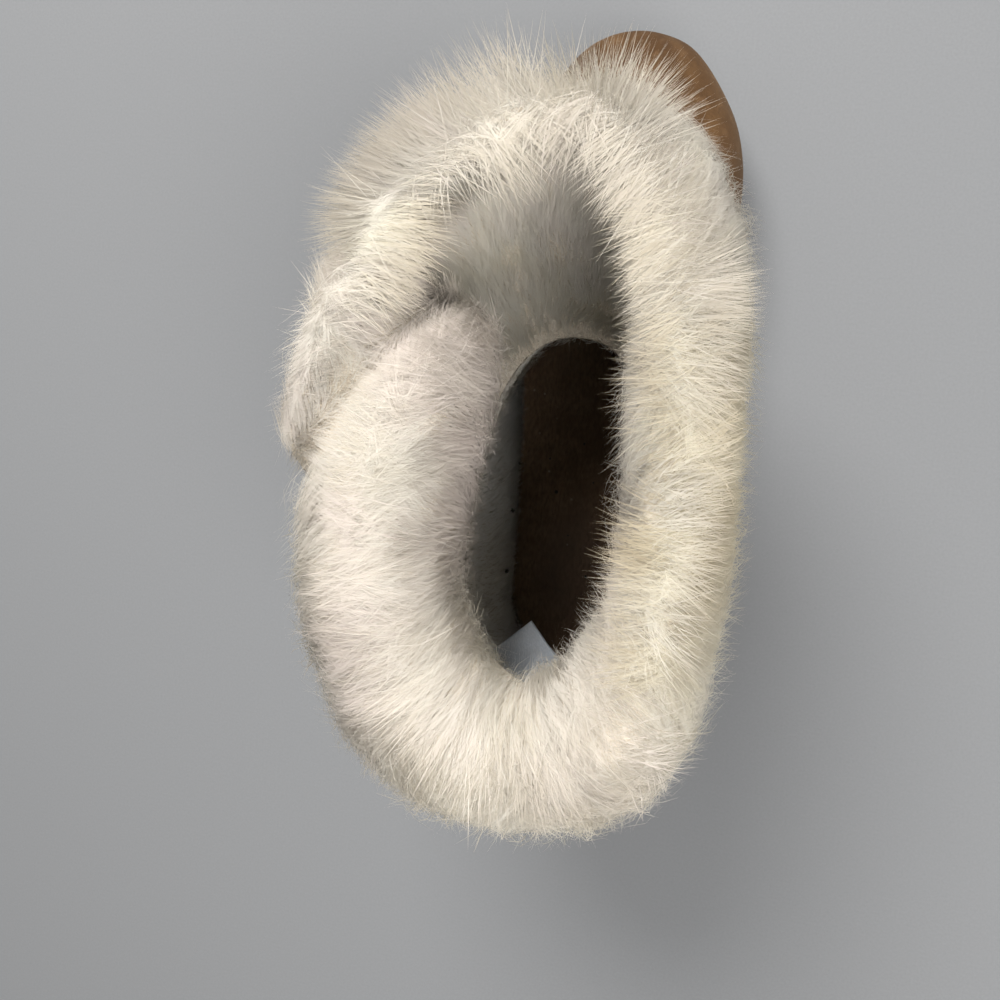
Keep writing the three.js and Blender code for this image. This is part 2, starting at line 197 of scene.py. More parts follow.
def easedTable(rows, places):
    # monotone spline through rows of (place, value, value ...): no overshoot between rows
    rows = np.asarray(rows, float)
    x, y = rows[:, 0], rows[:, 1:]
    slope = np.diff(y, axis=0) / np.diff(x)[:, None]
    tangent = np.zeros_like(y)
    tangent[0], tangent[-1] = slope[0], slope[-1]
    product = slope[:-1] * slope[1:]
    total = slope[:-1] + slope[1:]
    tangent[1:-1] = np.where(product > 0, 2 * product / np.where(total == 0, 1, total), 0)
    at = np.clip(places, x[0], x[-1])
    i = np.clip(np.searchsorted(x, at, side="right") - 1, 0, len(x) - 2)
    span = (x[i + 1] - x[i])[..., None]
    t = (at - x[i])[..., None] / span
    return ((1 + 2 * t) * (1 - t) ** 2 * y[i] + t * (1 - t) ** 2 * span * tangent[i]
            + t * t * (3 - 2 * t) * y[i + 1] - t * t * (1 - t) * span * tangent[i + 1])


def roundTable(rows, places):
    # smooth spline around a closed table of (share, value, value ...), the first row follows the last
    rows = np.asarray(rows, float)
    x = np.concatenate([rows[-2:, 0] - 1, rows[:, 0], rows[:2, 0] + 1])
    y = np.vstack([rows[-2:, 1:], rows[:, 1:], rows[:2, 1:]])
    gap = np.diff(x)[:, None]
    slope = np.diff(y, axis=0) / gap
    tangent = np.zeros_like(y)
    tangent[1:-1] = (slope[:-1] * gap[1:] + slope[1:] * gap[:-1]) / (gap[:-1] + gap[1:])
    at = np.mod(places, 1)
    i = np.clip(np.searchsorted(x, at, side="right") - 1, 1, len(x) - 3)
    span = (x[i + 1] - x[i])[..., None]
    t = (at - x[i])[..., None] / span
    return ((1 + 2 * t) * (1 - t) ** 2 * y[i] + t * (1 - t) ** 2 * span * tangent[i]
            + t * t * (3 - 2 * t) * y[i + 1] - t * t * (1 - t) * span * tangent[i + 1])


def unit(v):
    return v / np.maximum(np.linalg.norm(v, axis=-1, keepdims=True), 1e-12)


def bell(x, middle, width):
    # bell curve: 1 at the middle, falling off over the width
    return np.exp(-(((x - middle) / width) ** 2))


def rise(x, start, span):
    # 0 before the start, 1 a span after it, straight between them
    return np.clip((x - start) / span, 0, 1)


def fall(x, end, span):
    # 1 a span before the end, 0 after it, straight between them
    return np.clip((end - x) / span, 0, 1)


def gridNormals(grid):
    # cross product of the steps along the two parameters; the first one runs in a closed ring
    return unit(np.cross(np.roll(grid, -1, 0) - np.roll(grid, 1, 0), np.gradient(grid, axis=1)))


# Boot sizes in millimetres, as the solids have them
last = {
    "length": 263.5,
    "heelRadius": 39,
    "ballWidth": 92,
    "ankleHalfWidth": 36,
    "ankleSquareness": 2.25,
    # outline of the sole: share of the length, share of half the ball width
    "outline": [(0, 0), (0.022, 0.39), (0.095, 0.665), (0.2, 0.7), (0.34, 0.61), (0.45, 0.63), (0.58, 0.8),
                (0.71, 0.98), (0.79, 1), (0.87, 0.905), (0.935, 0.69), (0.983, 0.4), (1, 0), (0.982, -0.38),
                (0.93, -0.66), (0.855, -0.875), (0.73, -1), (0.6, -0.965), (0.45, -0.83), (0.25, -0.735),
                (0.1, -0.675), (0.022, -0.39)],
    # seat of the upper: share of the length, height
    "seat": [(0, 22.5), (0.045, 22.3), (0.25, 21), (0.37, 18.4), (0.47, 16), (0.54, 14.6), (0.72, 13.4),
             (0.775, 13.8), (0.9, 17.2), (1, 22.8)],
    # sections: heel line y, z; instep line y, z; girth; share of the seat's sag; share of the ankle oval
    "sections": [(-38.1, 22.8, 223.6, 23.1, 0.98, 1, 0), (-40, 27, 226, 28.5, 1.015, 1, 0),
                 (-41.5, 33, 226.8, 35.5, 1.03, 0.9, 0), (-42.2, 39, 223, 43, 1.02, 0.75, 0),
                 (-42.2, 46, 214, 49.5, 0.985, 0.6, 0), (-41.8, 52, 200, 54, 0.94, 0.5, 0.03),
                 (-41, 58, 182, 58.5, 0.89, 0.35, 0.1), (-40, 64, 163, 63.5, 0.84, 0.2, 0.25),
                 (-39.2, 70, 146, 69, 0.8, 0.1, 0.45), (-38.6, 77, 131, 75, 0.78, 0, 0.65),
                 (-38.2, 84, 119, 81, 0.78, 0, 0.85), (-38, 91, 110.5, 86, 0.78, 0, 1),
                 (-38, 100, 103, 91, 0.78, 0, 1)],
}
outlineAt = evenly(closedCurve([(across * last["ballWidth"] / 2, along * last["length"] - last["heelRadius"])
                                for along, across in last["outline"]]))


def seatHeight(y):
    return easedTable(last["seat"], (y + last["heelRadius"]) / last["length"])[..., 0]


def upperSurface(share, level):
    # point of the lasted foot: share of the way round, level 0 at the feather edge to 1 at the ankle seam.
    # Each section is the sole outline drawn together lengthways and eased into an oval. A spline joins them.
    point = outlineAt(share)
    along = np.clip((point[..., 1] + last["heelRadius"]) / last["length"], 0, 1)
    power = last["ankleSquareness"]
    oval = (1 - np.abs(2 * along - 1) ** power) ** (1 / power)
    oval = oval * last["ankleHalfWidth"] * np.sign(point[..., 0])
    ends = seatHeight(np.array([-last["heelRadius"], last["length"] - last["heelRadius"]], float))
    sag = seatHeight(point[..., 1]) - (ends[0] + (ends[1] - ends[0]) * along)
    rings = []
    for backY, backZ, frontY, frontZ, girth, seat, oval01 in last["sections"]:
        x = point[..., 0] * girth * (1 - oval01) + oval * oval01
        y = backY + (frontY - backY) * along
        z = backZ + (frontZ - backZ) * along + seat * sag
        rings.append(np.stack([x, y, z], -1))
    rings = np.stack(rings, 0)
    top = len(rings) - 1
    at = np.clip(level, 0, 1) * top
    i = np.clip(np.floor(at).astype(int), 0, top - 1)
    t = (at - i)[..., None]
    pick = lambda k: np.take_along_axis(rings, np.clip(i + k, 0, top)[None, ..., None], 0)[0]
    a, b, c, d = pick(-1), pick(0), pick(1), pick(2)
    return 0.5 * (2 * b + (c - a) * t + (2 * a - 5 * b + 4 * c - d) * t * t + (3 * b - a - 3 * c + d) * t**3)


# Fur shaft at its top, round from the heel by the inner side: share of the way round, outer face x, y,
# inner face x, y, crest height
shaft = {
    "foldShare": 0.67, "overSeam": 17, "drop": 3, "wall": 3, "gap": 0.3, "hemLevel": 11 / 12,
    # shoulders: how far below the crest, and the shares across where the crest starts and ends
    "outerShoulder": 34, "innerShoulder": 32, "crestStart": 0.36, "crestSpan": 0.3, "crestEnd": 0.66,
    "innerSpan": 0.34, "crestPower": 0.85,
    # bend in each face: share of the way from its top to its foot, share of the height
    "outerBend": (0.2, 0.42), "innerBend": (0.55, 0.5),
    "places": [(0, 6, -50, 8, 0.5, 197), (0.03, 27, -46, 13, 3, 197), (0.06, 44, -36.5, 17.5, 7.5, 197.5),
               (0.1, 56.5, -20, 23, 16, 198), (0.15, 62.5, 2, 27, 30, 199), (0.2, 64, 27, 28.5, 44, 199),
               (0.25, 63.5, 54, 27, 60, 199), (0.3, 62, 82, 26, 82, 198), (0.35, 59.5, 109, 25, 101, 197),
               (0.39, 54, 131.5, 22, 114, 196), (0.425, 43.5, 148.5, 17, 127, 195),
               (0.46, 27.5, 158, 12, 136, 195), (0.5, 6, 160.5, 5, 140.5, 195),
               (0.52, -14.5, 154.5, -1, 140.5, 195.5), (0.54, -32.5, 142.5, -9, 137, 196.5),
               (0.565, -49.5, 121.5, -18, 131, 198), (0.595, -63, 97.5, -25, 123.5, 199.5),
               (0.62, -70.5, 76.5, -28, 117.5, 200), (0.642, -73, 58.5, -29, 112, 199),
               (0.657, -72, 47, -28.5, 108, 196.5), (0.67, -68.5, 40, -25.5, 104.5, 190),
               (0.684, -66.5, 37.5, -18, 101.5, 196.5), (0.702, -66, 34.5, -10, 95.5, 199),
               (0.73, -65.5, 29, -6, 83, 200.5), (0.77, -64.5, 19, -8, 67, 200.5),
               (0.82, -61, 4.5, -10.5, 50.5, 200), (0.87, -54.5, -11, -11, 34.5, 199),
               (0.92, -42.5, -30, -7.5, 18, 198), (0.96, -20, -45.5, 1, 5.5, 197)],
}


def hemRings(share):
    # rings of the shaft's foot: inside the ankle seam, over its edge, down its outside, and the hem's edge
    below = upperSurface(share, np.full_like(share, shaft["hemLevel"]))
    level, step = np.ones_like(share), 0.004
    seam = upperSurface(share, level)
    ahead = upperSurface(share + step, level) - upperSurface(share - step, level)
    away = unit(np.stack([ahead[..., 1], -ahead[..., 0], 0 * ahead[..., 0]], -1))
    up = np.array([0, 0, 1.0])
    wall, gap = shaft["wall"], shaft["gap"]
    hemEdge = below + away * (shaft["overSeam"] + gap) - up * shaft["drop"]
    return seam - away * wall + up * gap, seam + (away + up) * gap, below + away * gap, hemEdge


def furSurface(share, across):
    # outer face of the pile: share of the way round; across 0 at the seam outside, then the outer shoulder,
    # the crest, the inner shoulder and 1 at the seam inside. Faces are bent lines, the crest half an oval.
    table = roundTable(shaft["places"], share)
    crest = table[..., 4:5]
    outerTop = np.concatenate([table[..., 0:2], crest - shaft["outerShoulder"]], -1)
    innerTop = np.concatenate([table[..., 2:4], crest - shaft["innerShoulder"]], -1)
    rimInner, _, _, outerLow = hemRings(share)
    outerBend = outerTop + (outerLow - outerTop) * shaft["outerBend"][0]
    outerBend[..., 2] = outerLow[..., 2] + (outerTop[..., 2] - outerLow[..., 2]) * shaft["outerBend"][1]
    innerBend = innerTop + (rimInner - innerTop) * shaft["innerBend"][0]
    innerBend[..., 2] = rimInner[..., 2] + (innerTop[..., 2] - rimInner[..., 2]) * shaft["innerBend"][1]
    b = across[..., None]
    t = rise(b, 0, shaft["crestStart"])
    outer = (1 - t) ** 2 * outerLow + 2 * t * (1 - t) * outerBend + t * t * outerTop
    turn = rise(b, shaft["crestStart"], shaft["crestSpan"]) * np.pi
    over = outerTop + (innerTop - outerTop) * (1 - np.cos(turn)) / 2
    over[..., 2:] += (crest - over[..., 2:]) * np.maximum(np.sin(turn), 0) ** shaft["crestPower"]
    s = rise(b, shaft["crestEnd"], shaft["innerSpan"])
    inner = (1 - s) ** 2 * innerTop + 2 * s * (1 - s) * innerBend + s * s * rimInner
    return np.where(b < shaft["crestStart"], outer, np.where(b < shaft["crestEnd"], over, inner))


# Meshes from arrays
def meshFrom(name, points, faces, uv=None, normals=None, smooth=True):
    # faces: list of integer arrays, each (count, corners); points in millimetres
    mesh = bpy.data.meshes.new(name)
    points = np.ascontiguousarray(points, dtype=np.float32) * np.float32(mm)
    sizes = np.concatenate([np.full(len(f), f.shape[1]) for f in faces])
    loops = np.concatenate([f.ravel() for f in faces]).astype(np.int32)
    mesh.vertices.add(len(points))
    mesh.vertices.foreach_set("co", points.ravel())
    mesh.loops.add(len(loops))
    mesh.loops.foreach_set("vertex_index", loops)
    mesh.polygons.add(len(sizes))
    mesh.polygons.foreach_set("loop_start", np.concatenate([[0], np.cumsum(sizes)[:-1]]).astype(np.int32))
    mesh.polygons.foreach_set("use_smooth", np.full(len(sizes), smooth))
    mesh.update(calc_edges=True)
    if uv is not None:
        layer = mesh.uv_layers.new(name="OFBake")
        layer.data.foreach_set("uv", uv[loops].astype(np.float32).ravel())
    if normals is not None:
        mesh.normals_split_custom_set_from_vertices(normals.astype(np.float32))
    mesh.validate()
    piece = bpy.data.objects.new(name, mesh)
    bpy.context.collection.objects.link(piece)
    return piece


def gridFaces(rows, columns, closeRows=False, closeColumns=False):
    # quads between neighbours of a rows x columns grid of points
    r = np.arange(rows if closeRows else rows - 1)
    c = np.arange(columns if closeColumns else columns - 1)
    r, c = (g.ravel() for g in np.meshgrid(r, c, indexing="ij"))
    r1, c1 = (r + 1) % rows, (c + 1) % columns
    return np.stack([r * columns + c, r1 * columns + c, r1 * columns + c1, r * columns + c1], -1)


def softNoise(points, wave, seed, octaves=3):
    # smooth noise from -1 to 1: a sum of sine waves in random directions, wave the longest in millimetres
    rng = np.random.default_rng(seed)
    total, weight = np.zeros(points.shape[:-1]), 0.0
    for octave in range(octaves):
        size = 0.55**octave
        for _ in range(5):
            way = unit(rng.normal(size=3)) * 2 * np.pi / (wave * size * rng.uniform(0.75, 1.3))
            total += np.sin(points @ way + rng.uniform(0, 6.28)) * size
            weight += size * 0.55
    return total / weight


def cellRandom(i, j, seed):
    # one repeatable random number from 0 to 1 for each cell of a grid
    n = (i.astype(np.int64) * 73856093) ^ (j.astype(np.int64) * 19349663) ^ (seed * 83492791)
    n = (n ^ (n >> 13)) * 1274126177 & 0x7FFFFFFF
    return ((n ^ (n >> 11)) & 0xFFFFF) / 0xFFFFF


def tuftPull(s, w, cell, seed):
    # vector on the surface from a hair to the middle of the nearest tuft, and that tuft's random number
    i0, j0 = np.floor(s / cell), np.floor(w / cell)
    best = np.full(s.shape, 1e9)
    ds, dw, tuft = np.zeros_like(s), np.zeros_like(s), np.zeros_like(s)
    for di in (-1, 0, 1):
        for dj in (-1, 0, 1):
            i, j = i0 + di, j0 + dj
            cs = (i + 0.5 + 0.8 * (cellRandom(i, j, seed) - 0.5)) * cell - s
            cw = (j + 0.5 + 0.8 * (cellRandom(i, j, seed + 1) - 0.5)) * cell - w
            near = cs**2 + cw**2
            closer = near < best
            best = np.where(closer, near, best)
            ds, dw = np.where(closer, cs, ds), np.where(closer, cw, dw)
            tuft = np.where(closer, cellRandom(i, j, seed + 2), tuft)
    return ds, dw, tuft


# Grid over a furred face: points, normals, steps along both parameters and distances in millimetres
class PileFace:
    def __init__(self, surface, shares, acrosses):
        a, b = np.meshgrid(shares, acrosses, indexing="ij")
        self.grid = surface(a, b)
        self.normals = gridNormals(self.grid)
        self.around = unit(np.roll(self.grid, -1, 0) - np.roll(self.grid, 1, 0))
        self.over = unit(np.gradient(self.grid, axis=1))
        self.a, self.b = a, b
        stepA = np.linalg.norm(np.roll(self.grid, -1, 0) - self.grid, axis=-1)
        stepB = np.linalg.norm(np.diff(self.grid, axis=1), axis=-1)
        self.s = np.cumsum(stepA, 0) - stepA
        self.w = np.concatenate([np.zeros((len(a), 1)), np.cumsum(stepB, 1)], 1)
        self.area = stepA[:, :-1] * stepB

    def sample(self, count, density, rng):
        # random places on the face, as many on each cell as its area times the density asks for
        chance = (self.area * density[:, :-1]).ravel()
        cell = np.searchsorted(np.cumsum(chance) / chance.sum(), rng.random(count))
        i, j = np.unravel_index(np.clip(cell, 0, chance.size - 1), self.area.shape)
        u, v = rng.random(count)[:, None], rng.random(count)[:, None]
        i1 = (i + 1) % len(self.grid)

        def blend(field):
            f = field if field.ndim == 3 else field[..., None]
            low, high = f[i, j] * (1 - u) + f[i1, j] * u, f[i, j + 1] * (1 - u) + f[i1, j + 1] * u
            mixed = low * (1 - v) + high * v
            return mixed if field.ndim == 3 else mixed[:, 0]

        sPlace = self.s[i, j] + u[:, 0] * np.linalg.norm(self.grid[i1, j] - self.grid[i, j], axis=-1)
        aPlace = self.a[i, j] + u[:, 0] * (1 / len(self.grid))
        ways = {key: unit(blend(field)) for key, field in
                (("normal", self.normals), ("around", self.around), ("over", self.over))}
        return {"point": blend(self.grid), **ways,
                "s": sPlace, "w": blend(self.w), "a": aPlace, "b": blend(self.b)}


def hairRibbons(name, root, middle, tip, face, width, tint, roll):
    # each hair is a slightly bowed spindle of two faces, pointed at root and tip and widest in the middle
    way = unit(tip - root)
    side = unit(np.cross(way, face))
    lift = unit(np.cross(side, way))
    half = (side * np.cos(roll)[:, None] + lift * np.sin(roll)[:, None]) * (width / 2)[:, None]
    points = np.stack([root, middle - half, middle + half, tip], 1)
    first = (np.arange(len(root)) * 4)[:, None]
    tris = np.concatenate([first + np.array([0, 2, 1]), first + np.array([1, 2, 3])], 1).reshape(-1, 3)
    uv = np.empty((len(root), 4, 2))
    uv[:, :, 0] = np.array([0.02, 0.55, 0.55, 0.98])
    uv[:, :, 1] = tint[:, None] + np.array([0, -0.006, 0.006, 0])
    return meshFrom(name, points.reshape(-1, 3), [tris], uv=np.clip(uv, 0.002, 0.998).reshape(-1, 2),
                    normals=np.repeat(face, 4, axis=0))


# Camera where the photo was taken from, turned so that this one boot is in the middle, in metres
view = {"eye": (0.0581, 0.0771, 0.432), "aim": (-0.0090, 0.0450, 0.150), "up": (-0.1132, 0.9936, 0),
        "lens": 34.2, "sensor": 36, "nearest": 0.01}
camera = bpy.data.objects.new("camera", bpy.data.cameras.new("camera"))
bpy.context.collection.objects.link(camera)
camera.data.lens, camera.data.sensor_width = view["lens"], view["sensor"]
camera.data.clip_start = view["nearest"]
eye, aim = Vector(view["eye"]), Vector(view["aim"])
back = (eye - aim).normalized()
right = Vector(view["up"]).cross(back).normalized()
turned = Matrix((right, back.cross(right), back)).transposed()
camera.matrix_world = Matrix.Translation(eye) @ turned.to_4x4()
bpy.context.scene.camera = camera
# fine hair takes long to light, so light is followed only a little way
bpy.context.scene.view_settings.view_transform = "Standard"
bpy.context.scene.cycles.max_bounces = 2
bpy.context.scene.cycles.diffuse_bounces = 1
bpy.context.scene.cycles.adaptive_threshold = 0.2
bpy.context.scene.cycles.debug_use_spatial_splits = True

# Pale floor and soft studio light, stronger from the toe side. Lamps: name, place, size, watts
studio = {"floor": [(0.3, (0.190, 0.192, 0.194)), (0.7, (0.206, 0.208, 0.210))], "floorReach": 3000,
          "world": (0.985, 0.99, 1.0), "worldLevel": 0.56, "lampsAim": (0, 0.07, 0.1),
          "lamps": [("key", (-0.25, 0.75, 0.95), 0.55, 17), ("fill", (0.5, -0.35, 0.9), 0.7, 8)]}
floorFinish = Finish("studioFloor")
shade = floorFinish.ramp(floorFinish.noise(floorFinish.coords(), 900, 3), *studio["floor"])
floorFinish.show(floorFinish.coat(shade, 0.75, 0.3))
corners = np.array([[-1, -1, 0], [1, -1, 0], [1, 1, 0], [-1, 1, 0]]) * studio["floorReach"]
floor = meshFrom("studioFloor", corners, [np.array([[0, 1, 2, 3]])], smooth=False)
floor.data.materials.append(floorFinish.material)
floor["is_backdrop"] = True
for lampName, place, size, power in studio["lamps"]:
    lamp = bpy.data.objects.new(lampName, bpy.data.lights.new(lampName, "AREA"))
    lamp.data.shape, lamp.data.size, lamp.data.energy = "DISK", size, power
    lamp.location = place
    lamp.rotation_euler = (Vector(place) - Vector(studio["lampsAim"])).to_track_quat("Z", "Y").to_euler()
    bpy.context.collection.objects.link(lamp)
world = bpy.data.worlds.new("studio")
bpy.context.scene.world = world
world.use_nodes = True
world.node_tree.nodes["Background"].inputs[0].default_value = (*studio["world"], 1)
world.node_tree.nodes["Background"].inputs[1].default_value = studio["worldLevel"]
print("camera and light ready")


# Fur finish: colour only from the hair's own map, u from root to tip and v the tint of its patch
def furFinish(name, roots, tips, through):
    finish = Finish(name)
    uv = finish.node("UVMap", {"uv_map": "OFBake"})
    u = finish.node("SeparateXYZ", {}, {"Vector": uv}, output=0)
    v = finish.node("SeparateXYZ", {}, {"Vector": uv}, output=1)
    colour = finish.mixed(finish.level(u, 0.1, 0.85), finish.ramp(v, *roots), finish.ramp(v, *tips))
    glow = finish.node("BsdfTranslucent", {}, {"Color": through})
    return finish.show(finish.node("MixShader", {}, {0: 0.4, 1: finish.coat(colour, 0.7, 0.25), 2: glow}))


# Cream pile: millimetres, degrees from the face's normal, and places as shares round and across
pile = {
    # colours by tint, from yellowed to pink, at the roots and at the tips, and of light through a hair; the
    # darker roots are partly the hair's own colour and partly painted shade deep in the pile, where most
    # hairs throw no shadow
    "roots": [(0.0, (0.54, 0.44, 0.29)), (0.3, (0.62, 0.54, 0.42)), (0.65, (0.67, 0.60, 0.52)),
              (1.0, (0.61, 0.52, 0.48))],
    "tips": [(0.0, (0.73, 0.66, 0.49)), (0.22, (0.78, 0.735, 0.60)), (0.5, (0.81, 0.775, 0.69)),
             (0.78, (0.80, 0.715, 0.65)), (1.0, (0.75, 0.655, 0.62))],
    "through": (0.80, 0.75, 0.66),
    # bands of the shaft: from and to across the face, hairs, seed, share that is ground hair
    "bands": {"outer": (0.0, 0.30, 96000, 103, 0.35), "crest_outer": (0.28, 0.51, 99000, 111, 0.3),
              "crest_inner": (0.51, 0.78, 99000, 121, 0.35), "inner": (0.76, 1.0, 60000, 131, 0.7)},
    "length": 27.0, "lengthSpread": (0.8, 1.12), "width": 0.21, "widthSpread": (0.7, 1.3),
    "bow": (0.03, 0.10), "rollSpread": 0.5, "rootSlide": 0.9, "rootDrop": 0.7, "rootMargin": 2,
    # hairs part at the crest: place, how soft the parting is and how far it wanders
    "parting": 0.51, "partingSoft": 0.08, "partingWander": 0.09,
    # they swirl round the boot in long waves, in short waves and hair by hair
    "swirl": (0.85, 0.6, 0.2),
    "angle": 64, "crestSteeper": 13, "angleByPatch": 9, "angleSpread": 6,
    # tips stand this far out of the face, more or less by patch and hair by hair; some are sunk deeper
    "proud": -2.0, "proudByPatch": 1.6, "proudSpread": 0.8, "sunk": 6,
    # tufts: size, share of the way that tips are drawn to the middle, how differently proud they are
    "tufts": [(15, 0.12, 1.2), (5.5, 0.34, 2.0), (2.2, 0.35, 1.2)],
    "stray": {"share": 0.04, "proud": (0.5, 4.5), "drawn": 0.2, "width": 0.6},
    # trimmed shorter down the inside; hanging past the hem and past the ankle seam: how far, over what share
    "trim": 0.62, "trimFrom": 0.72, "trimSpan": 0.28,
    "hang": [(10, 0.04), (8, 0.03)], "hangInwards": 0.12, "hangBow": 0.1,
    # by the side fold hairs are shorter, calmer and steeper, and lean into it from both sides
    "fold": {"reach": 0.035, "shorter": 0.35, "calmer": 0.8, "steeper": 26, "turnSpan": 0.006,
             "leanReach": (0.03, 0.12), "filled": 3.0, "filledReach": (0.012, 0.1)},
    # the bay between the front arc and its lobe gets more hair, which stands steeper there
    "bay": {"place": (0.565, 0.61), "reach": (0.025, 0.07), "denser": 2.0, "steeper": 22, "proud": 1.5},
    "calmArc": {"place": 0.555, "reach": 0.035, "calmer": 0.8},
    # flatter pile at the front lobe's end and where the tab shows at the heel: place, reach, how much
    "flatLobe": (-0.010, 0.020, 3.8), "flatHeel": (0.44, 0.07, 3.0),
    # tint: middle, by patch, by small patch, by tuft, hair by hair
    "tint": (0.52, 0.3, 0.14, 0.2, 0.05),
    # yellowed along the inner side and down the inside, whiter on the outer side: how much, place, reach
    "yellowedSide": (0.6, 0.24, 0.11), "yellowedInside": 0.25, "whiterSide": (0.16, 0.76, 0.14),
}
pileFinish = furFinish("creamPile", pile["roots"], pile["tips"], pile["through"])
furFace = PileFace(furSurface, np.arange(360) / 360, np.linspace(0, 1, 161))


def inBay(share, across):
    # 1 in the middle of the bay, falling off as a bell curve both ways
    place, reach = pile["bay"]["place"], pile["bay"]["reach"]
    return bell(share, place[0], reach[0]) * bell(across, place[1], reach[1])


def growPile(name, count, seed, bandLow, bandHigh, shades):
    # hairs stand on the backing below the face and lean away from the crest's middle; tips gather in tufts
    rng = np.random.default_rng(seed)
    fold, bayHair, strays = pile["fold"], pile["bay"], pile["stray"]
    inBand = (furFace.b >= bandLow) & (furFace.b < bandHigh)
    density = np.where(inBand, 1 + bayHair["denser"] * inBay(furFace.a, furFace.b), 0.0)
    at = furFace.sample(count, density, rng)
    point, normal, a, b = at["point"], at["normal"], at["a"], at["b"]
    bay = inBay(a, b)
    fromFold = a - shaft["foldShare"]
    nearFold = bell(fromFold, 0, fold["reach"])

    # lean: over the crest to its own side, round the boot with the swirl
    parted = b - pile["parting"] + pile["partingWander"] * softNoise(point, 50, 5)
    side = np.tanh(parted / pile["partingSoft"])
    toFold = -np.tanh(fromFold / fold["turnSpan"]) * bell(fromFold, 0, fold["leanReach"][0])
    toFold = toFold * bell(b, 0.52, fold["leanReach"][1])
    swirl = pile["swirl"][0] * softNoise(point, 62, 11) + pile["swirl"][1] * softNoise(point, 19, 12)
    calm = pile["calmArc"]
    inCalm = bell(a, calm["place"], calm["reach"])
    swirl = swirl * (1 - fold["calmer"] * nearFold) * (1 - calm["calmer"] * inCalm) + toFold
    lean = unit(at["over"] * side[:, None]
                + at["around"] * (swirl + rng.normal(0, pile["swirl"][2], count))[:, None])

    # length and angle
    trimmed = pile["trim"] * rise(b, pile["trimFrom"], pile["trimSpan"])
    length = pile["length"] * rng.uniform(*pile["lengthSpread"], count)
    length = length * (1 - trimmed) * (1 - fold["shorter"] * nearFold)
    angle = pile["angle"] - pile["crestSteeper"] * bell(b, pile["parting"], 0.05)
    angle = angle + pile["angleByPatch"] * softNoise(point, 26, 15)
    angle = angle - fold["steeper"] * nearFold * fall(b, 0.55, 0.1) - bayHair["steeper"] * bay
    angle = np.radians(angle + rng.normal(0, pile["angleSpread"], count))

    # how proud the tips stand, and the pull of their tufts
    pull, tufts = 0, []
    proud = pile["proud"] + pile["proudByPatch"] * softNoise(point, 30, 17)
    for k, (cell, strength, unevenness) in enumerate(pile["tufts"]):
        ds, dw, tuft = tuftPull(at["s"], at["w"], cell, 3 + 4 * k)
        pull = pull + (at["around"] * ds[:, None] + at["over"] * dw[:, None]) * strength
        tufts.append(tuft - 0.5)
        proud = proud + unevenness * tufts[k]
    proud = proud + rng.normal(0, pile["proudSpread"], count) - pile["sunk"] * rng.random(count) ** 3
    filledRound, filledAcross = fold["filledReach"]
    proud += fold["filled"] * bell(fromFold, 0, filledRound) * bell(b, 0.5, filledAcross)
    proud += bayHair["proud"] * bay
    stray = rng.random(count) < strays["share"] * (1 - bay)
    proud = np.where(stray, rng.uniform(*strays["proud"], count), proud)
    place, reach, flatter = pile["flatLobe"]
    proud -= flatter * bell(fromFold, place, reach) * fall(b, 0.5, 0.1)
    place, reach, flatter = pile["flatHeel"]
    proud -= flatter * bell(np.mod(a + 0.5, 1), place, reach) * rise(b, 0.55, 0.08)

    # root, tip and middle; a root that would come out of the solids' box goes straight down instead
    base = point - normal * (length * np.cos(angle))[:, None]
    base = base - lean * (length * np.sin(angle))[:, None] * pile["rootSlide"]
    lowest, highest = np.array(cadLow) / mm, np.array(cadHigh) / mm
    outside = (base < lowest + pile["rootMargin"]) | (base > highest - pile["rootMargin"])
    straightDown = point - normal * (pile["rootDrop"] * length)[:, None]
    base = np.where(np.any(outside, 1)[:, None], straightDown, base)
    tip = point + normal * proud[:, None] + pull * np.where(stray, strays["drawn"], 1.0)[:, None]
    (hemHang, hemSpan), (seamHang, seamSpan) = pile["hang"]
    hang = rng.uniform(0, hemHang, count) * np.exp(-b / hemSpan)
    hang = hang + rng.uniform(0, seamHang, count) * np.exp((b - 1) / seamSpan)
    tip += lean * hang[:, None] + normal * (-pile["hangInwards"] * hang)[:, None]
    bow = length * rng.uniform(*pile["bow"], count)
    middle = (base + tip) / 2 + normal * bow[:, None] + lean * (pile["hangBow"] * hang)[:, None]

    # tint: 0 yellowed, 1 pink
    much, place, reach = pile["yellowedSide"]
    yellowed = much * bell(a, place, reach) * fall(b, 0.62, 0.2)
    yellowed = yellowed + pile["yellowedInside"] * rise(b, 0.78, 0.2)
    much, place, reach = pile["whiterSide"]
    yellowed = yellowed - much * bell(a, place, reach)
    plain, byPatch, bySmallPatch, byTuft, byHair = pile["tint"]
    tint = (plain + byPatch * softNoise(point, 85, 21) + bySmallPatch * softNoise(point, 24, 22)
            + byTuft * tufts[1] - yellowed + rng.normal(0, byHair, count))
    width = pile["width"] * np.where(stray, strays["width"], rng.uniform(*pile["widthSpread"], count))
    piece = hairRibbons(name, base, middle, tip, normal, width, np.clip(tint, 0.01, 0.99),
                        rng.normal(0, pile["rollSpread"], count))
    piece.data.materials.append(pileFinish)
    piece.visible_shadow = shades
    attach(piece, "root")
    return piece


# the ground hair throws shadows, the fine guard hair over it is too thin to
for band, (low, high, count, seed, groundShare) in pile["bands"].items():
    ground = int(count * groundShare)
    growPile(band + "_ground_fur", ground, seed, low, high, True)
    growPile(band + "_guard_fur", count - ground, seed + 1, low, high, False)

